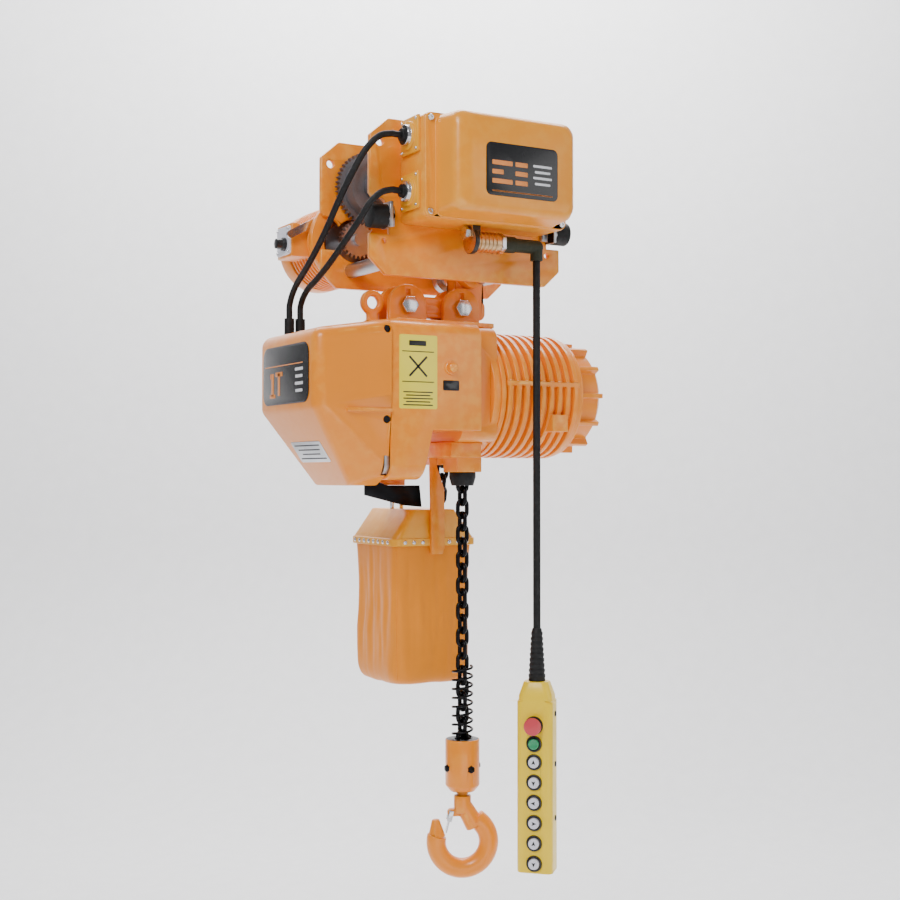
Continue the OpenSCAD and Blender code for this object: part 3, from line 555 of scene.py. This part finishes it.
REFINED_NODES = [
    ("side_plate_near", "orange_paint", 1.6), ("side_plate_far", "orange_paint", 1.6),
    ("control_box_base", "box_paint", 1.0), ("control_box_cover", "box_paint", 1.6),
    ("trolley_motor_case", "orange_paint", 1.2), ("suspension_hanger", "orange_paint", 1.4),
    ("suspension_lugs", "orange_paint", 1.6), ("lug_bolts", "bright_steel", 0.8),
    ("lifting_eye", "orange_paint", 2.6), ("gearbox_housing", "orange_paint", 1.6),
    ("end_cover", "orange_paint", 1.2), ("motor_frame", "orange_paint", 1.0),
    ("motor_end_bell", "orange_paint", 1.4), ("chain_guide", "orange_paint", 1.6),
    ("chain_funnel", "rubber", 1.2), ("bag_hanger", "orange_paint", 0.8),
    ("hook", "orange_paint", 1.4), ("pendant_connector", "brass", 0.8),
    ("bag_hood", "hood_paint", 1.2), ("slack_chain", "black_steel", 0.3),
    ("load_chain", "black_steel", 0.3), ("hook_latch", "bright_steel", 0.4),
    ("connector_plates", "amber_plastic", 1.0),
    ("hook_block", "orange_paint", 1.4), ("bumpers", "rubber", 1.4),
    ("pendant_case", "yellow_plastic", 1.4),
]
refined = {node: refine(node, material, width * MM) for node, material, width in REFINED_NODES}

# ---------- Second materials on pieces of several parts ----------

CHAIN_X, CHAIN_Y = 25, -34.2
BLOCK_R = 28
BUMPER_BACK, BUMPER_BOLT = 153.6, 141.5
GLAND_RING, GLAND_NUT = -131.4, -137
CONNECTOR_Y, CONNECTOR_Z = -138, -62
PLUG_FLANGE = (-22.5, -13.5)
PLUG_NUT, PLUG_ELBOW = (30.2, 37.9), 38
PLUG_R, PLUG_LOWEST = 15.5, -83
BOLT_HEAD_R, BOLT_HEAD_Y = 6, 104.5
BLOCK_FOOT_Z, BLOCK_BORE_R = -944, 20
HANGER_SIDE = (66, 71)
SHACKLE_Y, SHACKLE_TOP = 100, -446.5


def off_chain(p):
    """Distance from the load chain's axis."""
    return math.hypot(p.x - CHAIN_X, p.y - CHAIN_Y)


def off_plug(p):
    """Distance from the axis of the plug under the control box."""
    return math.hypot(p.y - CONNECTOR_Y, p.z - CONNECTOR_Z)


def on_plug_flange(p):
    """Whether a place is on the black ring round the plug."""
    return PLUG_FLANGE[0] < p.x < PLUG_FLANGE[1] and p.z > PLUG_LOWEST and off_plug(p) > PLUG_R


SECOND_MATERIALS = [
    ("bumpers", "steel", lambda p: abs(p.x) < BUMPER_BACK),
    ("bumpers", "black_steel", lambda p: abs(abs(p.x) - BUMPER_BOLT) < BOLT_HEAD_R and abs(p.y) > BOLT_HEAD_Y),
    ("connector_plates", "bright_steel", lambda p: GLAND_NUT < p.x < GLAND_RING),
    ("connector_plates", "rubber", lambda p: p.x <= GLAND_NUT),
    ("pendant_connector", "black_plastic", on_plug_flange),
    ("pendant_connector", "bright_steel", lambda p: PLUG_NUT[0] < p.x < PLUG_NUT[1]),
    ("pendant_connector", "olive_rubber", lambda p: p.x >= PLUG_ELBOW),
    ("hook_block", "black_steel", lambda p: off_chain(p) > BLOCK_R + 0.3),
    ("hook_block", "black_steel", lambda p: p.z < BLOCK_FOOT_Z or off_chain(p) < BLOCK_BORE_R),
    ("bag_hanger", "black_steel", lambda p: HANGER_SIDE[0] < p.y < HANGER_SIDE[1]),
    ("bag_hanger", "bright_steel", lambda p: p.y > SHACKLE_Y and p.z < SHACKLE_TOP),
]
for node_name, second, chosen in SECOND_MATERIALS:
    repaint(refined[node_name], second, chosen)

# ---------- Buffer spring ----------

SPRING_TOP, SPRING_BOTTOM = -742, -858
SPRING_TURNS, SPRING_STEPS = 8, 28
SPRING_R, SPRING_WIRE_R = 16, 2


def spring_point(k):
    """The middle of the spring's wire after k steps from its lower end."""
    a = 2 * math.pi * k / SPRING_STEPS
    z = SPRING_BOTTOM + (SPRING_TOP - SPRING_BOTTOM) * k / (SPRING_TURNS * SPRING_STEPS)
    return mm((CHAIN_X + SPRING_R * math.cos(a), CHAIN_Y + SPRING_R * math.sin(a), z))


coil = [spring_point(k) for k in range(SPRING_TURNS * SPRING_STEPS + 1)]
spring = tube("buffer_spring_coil", coil, SPRING_WIRE_R * MM, "black_steel", "hook_run", 10)
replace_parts(spring, "buffer_spring")

# ---------- Chain bag ----------

BAG_X, BAG_Y, BAG_W, BAG_D = 4, 100, 156, 164
BAG_TOP, BAG_BOTTOM = -541, -777
BAG_ROWS, BAG_SIDES = 64, 200
WALL_STEPS = 32
FOOT_START = 0.86
CLOTH_THICK, SEAM_R = 1.1, 0.9
TOP_FULL, WAIST_IN, FOOT_OUT = 0.955, 0.026, 0.04
WAIST_END, FOOT_DRAW = 0.62, 0.42
CORNER_TOP, CORNER_GROW = 13, 16


def bag_outline(t):
    """Points round the bag at a share t of its depth, with extra points along its four straight walls."""
    corner = CORNER_TOP + CORNER_GROW * t * t
    base = rounded_outline(BAG_W, BAG_D, corner, BAG_SIDES // 4 - 8)
    walls = []
    for i, (x, y) in enumerate(base):
        x2, y2 = base[(i + 1) % len(base)]
        walls.append((x, y))
        if math.hypot(x2 - x, y2 - y) > 20:
            walls += [(x + (x2 - x) * k / WALL_STEPS, y + (y2 - y) * k / WALL_STEPS)
                      for k in range(1, WALL_STEPS)]
    return corner, walls


def bag_fold(x, y, t, corner):
    """How far the cloth stands out at a point: folds, creases, a filled belly and drawn corners."""
    bearing = math.atan2(y, x)
    place = Vector((2.2 * math.cos(bearing), 2.2 * math.sin(bearing), t * 0.9))
    folds = noise.noise(place * 2.3) * 3.2 + noise.noise(place * 5.0 + Vector((9, 2, 4))) * 1.6
    creases = noise.noise(Vector((bearing * 9, t * 1.3, 2.0))) * 1.1
    slack = math.sin(math.pi * min(1, t * 1.05)) ** 0.6 if t < 0.95 else 0.5
    belly = 3.5 * t * (1 - (abs(x) / BAG_W * 2) ** 4) * (1 - (abs(y) / BAG_D * 2) ** 4)
    to_corner = abs(abs(x) - BAG_W / 2) + abs(abs(y) - BAG_D / 2) - corner * 0.6
    edge = 2.4 * math.exp(-(to_corner / 7) ** 2)
    return (folds + creases) * slack + belly - edge * slack * 0.9


def bag_ring(row):
    """One level of the cloth bag: drawn in at the waist, filled at the foot, creased at its corners."""
    t = row / BAG_ROWS
    full = TOP_FULL - WAIST_IN * math.sin(math.pi * min(1, t / WAIST_END)) + FOOT_OUT * max(0, t - 0.5)
    foot = max(0.0, (t - FOOT_START) / (1 - FOOT_START))
    full *= math.sqrt(max(0.0, 1 - FOOT_DRAW * foot * foot))
    down = t if t < FOOT_START else FOOT_START + (1 - FOOT_START) * math.sin(0.5 * math.pi * foot)
    z = BAG_TOP + (BAG_BOTTOM - BAG_TOP) * down
    corner, walls = bag_outline(t)
    ring = []
    for x, y in walls:
        out = Vector((x, y, 0)).normalized()
        move = bag_fold(x, y, t, corner)
        sag = 3.0 * foot * noise.noise(Vector((math.atan2(y, x) * 1.5, 0, 7)))
        ring.append(mm((BAG_X + x * full + out.x * move, BAG_Y + y * full + out.y * move, z + sag)))
    return ring


def make_bag():
    """The lofted cloth bag with a closed, sagging foot; gives back the rings of its wall."""
    wall = [bag_ring(row) for row in range(BAG_ROWS + 1)]
    middle = mm((BAG_X, BAG_Y, BAG_BOTTOM - 2))
    foot = [[p.lerp(middle + Vector((0, 0, -0.004 * (1 - share))), 1 - share) for p in wall[-1]]
            for share in (0.8, 0.55, 0.3, 0.1)]
    bag = loft("chain_bag_cloth", wall + foot, "bag_fabric", cap=False)
    cloth_wall = bag.modifiers.new("cloth", "SOLIDIFY")
    cloth_wall.thickness = CLOTH_THICK * MM
    cloth_wall.offset = -1
    apply_modifiers(bag)
    smooth(bag, 60)
    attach(bag, "hoist")
    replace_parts(bag, "chain_bag")
    return wall


bag_wall = make_bag()
near_corner = min(range(len(bag_wall[0])), key=lambda i: bag_wall[0][i].x + bag_wall[0][i].y)
seam_line = [ring[near_corner] for ring in bag_wall[4:BAG_ROWS - 3]]
tube("bag_seam", seam_line, SEAM_R * MM, "bag_fabric", "hoist", 8)

# ---------- Hood rim and rivets ----------

RIM_Z, RIM_OUT = -540, 1.6
RIM_FOLD = [(0.1, -533.5), (1.5, -534.5), (1.7, RIM_Z), (1.5, -545.5), (0.2, -546.5), (-1.5, -546.5)]
RIVETS_PER_SIDE, RIVET_SPAN = 8, 124
STRAP_X, STRAP_HALF = 4, 12
RIVET = in_metres([(-1, 3.6), (0.4, 3.6), (1.4, 2.8), (2.1, 1.4), (2.3, 0)])

rim = []
for grow, z in RIM_FOLD:
    outline = rounded_outline(BAG_W + 2 * grow, BAG_D + 2 * grow, 14 + grow, 8)
    rim.append([mm((BAG_X + x, BAG_Y + y, z)) for x, y in outline])
loft("hood_rim", rim, "hood_paint", "hoist", cap=False)

rivets = []
for k in range(RIVETS_PER_SIDE):
    along = -RIVET_SPAN / 2 + RIVET_SPAN * k / (RIVETS_PER_SIDE - 1)
    across = along * 0.94
    for sign in (-1, 1):
        on_side = mm((BAG_X + sign * (BAG_W / 2 + RIM_OUT), BAG_Y + along, RIM_Z))
        on_front = mm((BAG_X + across, BAG_Y + sign * (BAG_D / 2 + RIM_OUT), RIM_Z))
        rivets.append(turned("rivet", RIVET, on_side, (sign, 0, 0), "bright_steel", sides=20))
        if sign > 0 or abs(across - STRAP_X) > STRAP_HALF:
            rivets.append(turned("rivet", RIVET, on_front, (0, sign, 0), "bright_steel", sides=20))
gather("hood_rivets", rivets, "hoist")

# ---------- End cover panel and rating plate ----------

LEFT = (-1, 0, 0)
NEAR = (0, -1, 0)
FACE_X = -274.0
PANEL_TOP_X = FACE_X - 1.1
INK_THICK = 0.3
MARK_THICK = 0.5
FIGURE = [(50, -286, (9, 36)), (56, -272, (6, 8)), (50, -304, (22, 6)), (24, -286, (8, 36)), (24, -270, (28, 7))]

panel("cover_panel", (FACE_X, 0, -272), LEFT, (180, 92), 18, 1.2, "label_black", "hoist")
marks = [panel("mark", (PANEL_TOP_X, y, z), LEFT, size, 1.2, MARK_THICK, "ink_orange", None)
         for y, z, size in FIGURE]
marks.append(panel("mark", (PANEL_TOP_X, 6, -257), LEFT, (150, 1.6), 0.6, MARK_THICK, "ink_orange", None))
gather("cover_figure", marks, "hoist")
bars = [panel("bar", (PANEL_TOP_X, -55, -266 - 11 * k), LEFT, (30 - 4 * (k % 2), 4.5), 1.5, MARK_THICK,
              "ink_white", None) for k in range(4)]
gather("cover_bars", bars, "hoist")

plate_at, plate_facing = seat("end_cover", (-400, 0, -392), (1, 0, 0))
panel("rating_plate", plate_at / MM, plate_facing, (112, 38), 4, 0.8, "label_silver", "hoist")
plate_up = plate_facing.cross(Vector((0, 0, 1)).cross(plate_facing).normalized())
rows = []
for k in range(4):
    row_at = plate_at / MM + plate_up * (12 - 8 * k) + plate_facing * 0.7
    rows.append(panel("row", row_at, plate_facing, (96 - 14 * (k % 3), 2.4), 0.8, INK_THICK, "ink_black", None))
gather("rating_rows", rows, "hoist")

# ---------- Labels and plug on the housing's near side ----------

SIDE_Y = -115.0
INK_Y = SIDE_Y - 0.4
LABEL_X = -101
PICTOGRAM_Z = -260


def ink_bar(x, z, size, radius):
    """A black bar printed on the yellow label."""
    return panel("ink", (x, INK_Y, z), NEAR, size, radius, INK_THICK, "ink_black", None)


panel("side_label", (-100.5, SIDE_Y, -268.5), NEAR, (67, 115), 3, 0.5, "label_yellow", "hoist")
ink = [ink_bar(-102, -224, (30, 8), 1)]
ink += [ink_bar(LABEL_X, -300 - 5 * k, (52 - 9 * (k % 2), 1.8), 0.6) for k in range(5)]
ink += [ink_bar(LABEL_X, -237 - 47 * k, (56, 1.4), 0.5) for k in range(2)]
for lean in (-1, 1):
    slant = Vector((1, 0, lean)).normalized()
    stroke = in_metres(rounded_outline(44, 3.4, 1.2, 3))
    ink.append(plate("ink", mm((LABEL_X, INK_Y, PICTOGRAM_Z)), slant, Vector((-lean, 0, 1)), stroke,
                     INK_THICK * MM, "ink_black", None))
gather("side_label_ink", ink, "hoist")
panel("small_label", (-42, SIDE_Y, -288), NEAR, (29, 16), 2, 0.5, "label_black", "hoist")
OIL_PLUG = in_metres([(-1, 11), (2.5, 11), (3.5, 10), (3.5, 7.5), (9, 7.2), (10, 6), (10, 0)])
turned("oil_plug", OIL_PLUG, mm((-42, SIDE_Y, -260)), NEAR, "orange_paint", "hoist", 40)

# ---------- Control box label, screws and plug ----------

BOX_FACE_Y = -236
BOX_MARK_Y = BOX_FACE_Y - 0.8
BOX_LEFT, BOX_RIGHT, BOX_LOW, BOX_HIGH, FLANGE_Y = -122, 134, -38, 122, -177
SCREW_INSET = 9
BOX_FIGURE = [
    (-22, 42, (36, 7)), (-30, 28, (20, 7)), (-22, 14, (36, 7)), (12, 42, (22, 7)), (12, 28, (22, 7)),
    (12, 14, (22, 7)), (14, -1, (108, 1.8)),
]
CONNECTOR_PLATE_X, CONNECTOR_PLATE_Z = -127, (92, 6)

panel("box_label", (14, BOX_FACE_Y, 32), NEAR, (128, 80), 9, 0.9, "label_black", "trolley")
figure = [panel("mark", (x, BOX_MARK_Y, z), NEAR, size, 1.4, 0.4, "ink_orange", None) for x, z, size in BOX_FIGURE]
gather("box_figure", figure, "trolley")
strips = [panel("bar", (50, BOX_MARK_Y, 43 - 9 * k), NEAR, (34 - 6 * (k % 2), 3.6), 1.2, 0.4, "ink_white", None)
          for k in range(4)]
gather("box_bars", strips, "trolley")

flange_screws = [screw("screw", (x, FLANGE_Y, z), NEAR, 5.0, 3.2, "bright_steel")
                 for x in (BOX_LEFT + SCREW_INSET, BOX_RIGHT - SCREW_INSET)
                 for z in (BOX_LOW + SCREW_INSET, BOX_HIGH - SCREW_INSET)]
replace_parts(gather("box_cover_screws", flange_screws, "trolley"), "control_box_screws")
plate_screws = [screw("screw", (CONNECTOR_PLATE_X, y, z + dz), LEFT, 2.6, 1.8, "bright_steel")
                for z in CONNECTOR_PLATE_Z for y in (-157, -111) for dz in (-23, 23)]
gather("connector_plate_screws", plate_screws, "trolley")

PLUG_RIB = in_metres([(0, 15.2), (1.2, 16.6), (2.8, 16.6), (4, 15.2)])
PLUG_CAP = in_metres([(-1, 9), (3, 9), (3, 11), (9, 11), (10, 8), (10, 0)])
plug_ribs = [turned("rib", PLUG_RIB, mm((x, CONNECTOR_Y, CONNECTOR_Z)), (1, 0, 0), "brass", sides=40)
             for x in (-9, -2, 5, 12, 19)]
gather("connector_ribs", plug_ribs, "trolley")
turned("connector_gland", PLUG_CAP, mm((-24, CONNECTOR_Y, -49)), LEFT, "bright_steel", "trolley", 6)

# ---------- Trolley drive ----------

DRIVE_X, DRIVE_Z = -113.3, -36.9
TERMINAL_X = DRIVE_X - 96
LID_THICK = 3
DRIVE_BAND = in_metres([(0, 60), (0, 66.5), (6, 66.9), (12, 66.5), (12, 60)])
DRIVE_PLUG = in_metres([(-1, 11), (5, 11), (7, 9), (16, 8.4), (17, 6), (17, 0)])
LEVER_RISE, LEVER_THICK = 0.55, 4

turned("drive_band", DRIVE_BAND, mm((DRIVE_X, 194, DRIVE_Z)), (0, 1, 0), "black_plastic", "trolley", 72, cap=False)
panel("drive_terminal_lid", (TERMINAL_X, 159, DRIVE_Z + 2), LEFT, (54, 48), 5, LID_THICK, "white_plastic",
      "trolley")
turned("drive_plug", DRIVE_PLUG, mm((TERMINAL_X - LID_THICK, 152, DRIVE_Z - 4)), LEFT, "black_plastic", "trolley",
       32)
lid_screws = [screw("screw", (TERMINAL_X - LID_THICK, y, z), LEFT, 2.8, 2, "bright_steel")
              for y in (137, 181) for z in (DRIVE_Z - 17, DRIVE_Z + 21)]
gather("drive_lid_screws", lid_screws, "trolley")
lever = in_metres(rounded_outline(88, 13, 6, 6))
plate("drive_lever", mm((DRIVE_X - 70, 121, DRIVE_Z + 26)), Vector((1, 0, LEVER_RISE)), Vector((-LEVER_RISE, 0, 1)),
      lever, LEVER_THICK * MM, "bright_steel", "trolley")

# ---------- Pendant ----------

PENDANT_X, PENDANT_Y, PENDANT_TOP = 103, -138, -758
PENDANT_TURN = math.radians(-45)
PENDANT = Matrix.Translation(mm((PENDANT_X, PENDANT_Y, 0))) @ Matrix.Rotation(PENDANT_TURN, 4, "Z")
PENDANT_W, PENDANT_D = 58, 46
FACE = -PENDANT_D / 2
FRONT = PENDANT.to_3x3() @ Vector((0, -1, 0))
RIGHT = PENDANT.to_3x3() @ Vector((1, 0, 0))
STOP_DROP = -68
BUTTONS = {
    "start": ("start_button", "green_plastic", -97, None), "up": ("button_up", "white_plastic", -126, 90),
    "down": ("button_down", "white_plastic", -158, -90), "left": ("button_left", "white_plastic", -190, 180),
    "right": ("button_right", "white_plastic", -222, 0), "forward": ("button_forward", "white_plastic", -254, 90),
    "back": ("button_back", "white_plastic", -286, -90),
}
CAP = in_metres([(-9, 8.6), (4.6, 8.6), (5.6, 8.1), (6, 7), (5.5, 5.8), (5.4, 0)])
BEZEL = in_metres([(-0.5, 9.5), (2.6, 9.5), (3.2, 10.3), (2.6, 12.2), (-0.5, 13), (-0.5, 9.5)])
STOP_CAP = in_metres([(-9, 9), (9.6, 9), (10.2, 12.6), (11.2, 14), (13.6, 13.9), (15.2, 12.4), (16, 9), (16.1, 0)])
STOP_BEZEL = in_metres([(-0.5, 9.6), (1.2, 9.6), (1.8, 10.6), (1.4, 14), (-0.5, 15), (-0.5, 9.6)])
ARROW = [(4.6, 0), (4.2, 2.3), (1.6, math.pi), (4.2, -2.3)]
CASE_SCREW = in_metres([(-1, 4.6), (0.4, 4.6), (1.2, 3.8), (0.5, 2), (0.5, 0)])
CASE_SCREW_Z = (-810, -890, -976)


def in_pendant(x, y, z):
    """A place in the pendant's own frame, in millimetres; its buttons face its own -Y."""
    return PENDANT @ mm((x, y, z))


def make_button(body, node_name, finish_name, drop, heading):
    """A push button's cap with its arrow, and the bezel round it, which is given back."""
    height = PENDANT_TOP + drop
    cap = turned(body + "_cap", CAP, in_pendant(0, FACE, height), FRONT, finish_name, body, 40)
    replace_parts(cap, node_name)
    bezel = turned("bezel", BEZEL, in_pendant(0, FACE, height), FRONT, "black_plastic", sides=40, cap=False)
    if heading is not None:
        turn = math.radians(heading)
        arrow = [(r * MM * math.cos(turn + a), r * MM * math.sin(turn + a)) for r, a in ARROW]
        plate(body + "_arrow", in_pendant(0, FACE - 5.3, height), RIGHT, (0, 0, 1), arrow, 0.4 * MM,
              "ink_black", body)
    return bezel


bezels = [make_button(body, *facts) for body, facts in BUTTONS.items()]
stop_at = in_pendant(0, FACE, PENDANT_TOP + STOP_DROP)
stop = turned("stop_cap", STOP_CAP, stop_at, FRONT, "red_plastic", "stop", 48)
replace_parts(stop, "stop_button")
bezels.append(turned("bezel", STOP_BEZEL, stop_at, FRONT, "black_plastic", sides=48, cap=False))
gather("pendant_bezels", bezels, "pendant")

BOOT_RIBS, BOOT_PITCH, BOOT_TAPER = 9, 8.4, 0.52
boot = [(-2, 13.5), (3, 13.5)]
for k in range(BOOT_RIBS):
    r = 12.9 - BOOT_TAPER * k
    up = BOOT_PITCH * k
    boot += [(5 + up, r), (7 + up, r + 0.8), (10 + up, r + 0.7), (11.6 + up, r - 0.5)]
boot += [(82, 7.9), (84, 6.6)]
sleeve = turned("pendant_boot_sleeve", in_metres(boot), mm((PENDANT_X, PENDANT_Y, PENDANT_TOP)), (0, 0, 1),
                "rubber", "pendant", 40)
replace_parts(sleeve, "pendant_boot")
case_screws = [turned("screw", CASE_SCREW, in_pendant(PENDANT_W / 2, 4, z), RIGHT, "black_steel", sides=24)
               for z in CASE_SCREW_Z]
gather("pendant_case_screws", case_screws, "pendant")

# ---------- Floor and light (in metres) ----------

FLOOR_DROP = 0.35
SWEEP_START, SWEEP_R = 1.4, 0.8
WALL_H, STAGE_HALF = 4.0, 4.0


def make_stage():
    """A pale sweep of floor and backdrop, square to the camera."""
    away = Vector((-math.sin(CAMERA_AZIMUTH), math.cos(CAMERA_AZIMUTH), 0))
    side = Vector((away.y, -away.x, 0))
    floor_z = cad_box[0].z - FLOOR_DROP
    profile = [(-3.0, 0.0), (SWEEP_START, 0.0)]
    for k in range(1, 11):
        a = math.radians(9 * k)
        profile.append((SWEEP_START + SWEEP_R * math.sin(a), SWEEP_R - SWEEP_R * math.cos(a)))
    profile.append((SWEEP_START + SWEEP_R, WALL_H))
    rings = [[away * d + side * s + Vector((0, 0, floor_z + h)) for s in (-STAGE_HALF, STAGE_HALF)]
             for d, h in profile]
    stage = loft("stage", rings, "stage_paper", closed=False, cap=False)


def make_light(name, place, size, power, aim=TARGET):
    """A soft rectangular lamp, aimed at the middle of the hoist or at another place."""
    data = bpy.data.lights.new(name, "AREA")
    data.shape = "RECTANGLE"
    data.size, data.size_y = size
    data.energy = power
    lamp = bpy.data.objects.new(name, data)
    bpy.context.scene.collection.objects.link(lamp)
    lamp.location = place
    lamp.rotation_euler = (Vector(aim) - Vector(place)).to_track_quat("-Z", "Y").to_euler()


make_stage()
make_light("key", (-2.0, -1.6, 1.5), (1.2, 1.2), 64)
make_light("fill", (1.9, -2.4, 0.2), (2.0, 2.0), 18)
make_light("rim", (0.9, 1.6, 1.6), (1.5, 1.0), 26)
make_light("low", (-0.6, -2.2, -1.2), (1.6, 0.8), 8)
make_light("backdrop", (0.4, 0.8, 1.9), (3.0, 1.0), 150, (1.1, 2.0, -0.4))
world = bpy.data.worlds.new("studio")
world.use_nodes = True
world.node_tree.nodes["Background"].inputs["Color"].default_value = (0.95, 0.96, 1.0, 1)
world.node_tree.nodes["Background"].inputs["Strength"].default_value = 0.36
bpy.context.scene.world = world
